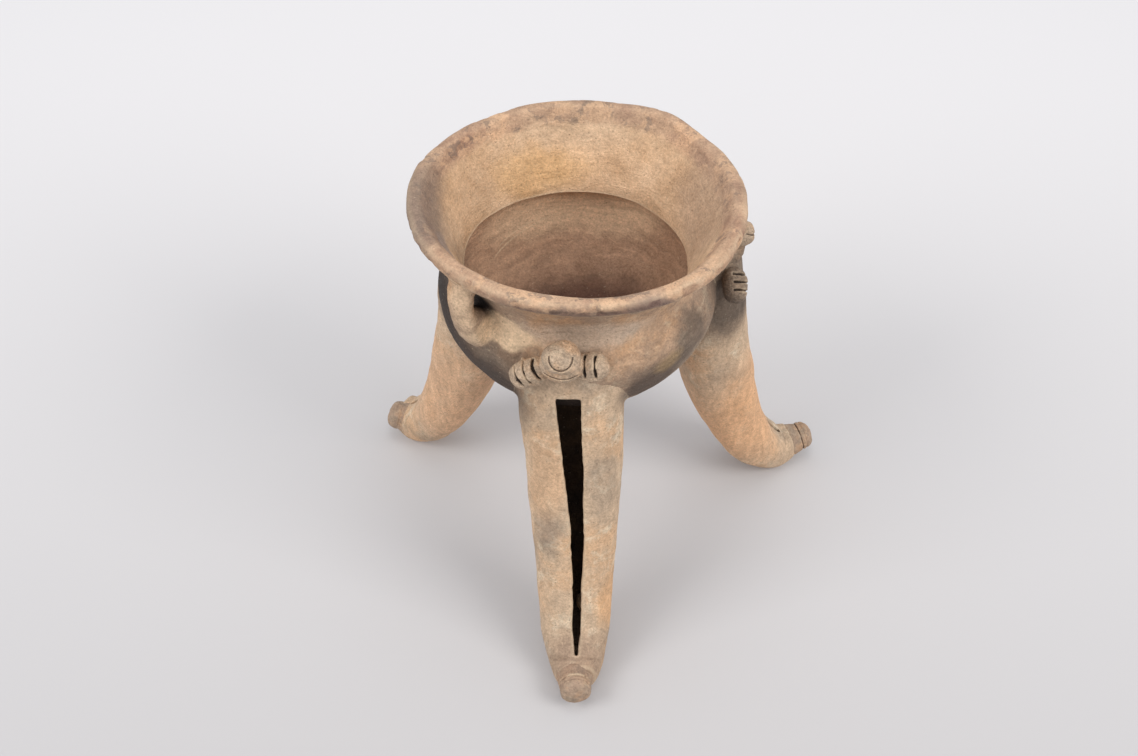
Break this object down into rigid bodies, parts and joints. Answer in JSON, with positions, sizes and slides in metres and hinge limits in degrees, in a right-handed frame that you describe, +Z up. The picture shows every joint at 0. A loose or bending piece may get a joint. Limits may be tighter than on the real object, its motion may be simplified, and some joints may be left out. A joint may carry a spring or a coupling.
{
  "type": "tripod rattle vessel",
  "caption": "Fired clay tripod bowl with a flared neck, hollow slit legs that hold loose rattle balls, small animal heads above the legs and strap handles under the lip.",
  "frame": {"origin": "on the floor, at the middle of the bounding box's underside", "axes": "+Z up, the leg that faces the viewer towards -Y, +X to the viewer's right and along the longest side"},
  "size_m": [0.2804, 0.2328, 0.2665],
  "materials": {
    "neck_clay": "burnished orange-buff slip, worn matt",
    "bowl_clay": "unglazed grey-brown with dark fire clouds",
    "leg_clay": "unglazed buff with grey specks",
    "toe_clay": "unglazed buff to ochre",
    "figure_clay": "unglazed grey-buff, rubbed high spots",
    "handle_clay": "unglazed buff",
    "pellet_clay": "unglazed rolled clay"
  },
  "bodies": {
    "vessel": {"flared_neck": "neck_clay", "vessel_body": "bowl_clay", "leg_front": "leg_clay", "leg_right": "leg_clay", "leg_left": "leg_clay", "toe_front": "toe_clay", "toe_right": "toe_clay", "toe_left": "toe_clay", "head_front": "figure_clay", "head_right": "figure_clay", "head_left": "figure_clay", "paw_front_a": "figure_clay", "paw_front_b": "figure_clay", "paw_right_a": "figure_clay", "paw_right_b": "figure_clay", "paw_left_a": "figure_clay", "paw_left_b": "figure_clay", "handle_front": "handle_clay", "handle_back": "handle_clay"},
    "ball_front_a": {"pellet_front_a": "pellet_clay"},
    "ball_front_b": {"pellet_front_b": "pellet_clay"},
    "ball_right_a": {"pellet_right_a": "pellet_clay"},
    "ball_right_b": {"pellet_right_b": "pellet_clay"},
    "ball_left_a": {"pellet_left_a": "pellet_clay"},
    "ball_left_b": {"pellet_left_b": "pellet_clay"}
  },
  "joints": [
    {"name": "rattle_front_a", "type": "slide", "parent": "vessel", "child": "ball_front_a", "axis": [-0.0075, 0.3583, 0.9336], "range_m": [0, 0.095]},
    {"name": "rattle_front_b", "type": "slide", "parent": "vessel", "child": "ball_front_b", "axis": [-0.0075, 0.3583, 0.9336], "range_m": [0, 0.095]},
    {"name": "rattle_right_a", "type": "slide", "parent": "vessel", "child": "ball_right_a", "axis": [-0.3445, -0.0988, 0.9336], "range_m": [0, 0.095]},
    {"name": "rattle_right_b", "type": "slide", "parent": "vessel", "child": "ball_right_b", "axis": [-0.3445, -0.0988, 0.9336], "range_m": [0, 0.095]},
    {"name": "rattle_left_a", "type": "slide", "parent": "vessel", "child": "ball_left_a", "axis": [0.3113, -0.1776, 0.9336], "range_m": [0, 0.095]},
    {"name": "rattle_left_b", "type": "slide", "parent": "vessel", "child": "ball_left_b", "axis": [0.3113, -0.1776, 0.9336], "range_m": [0, 0.095]}
  ]
}
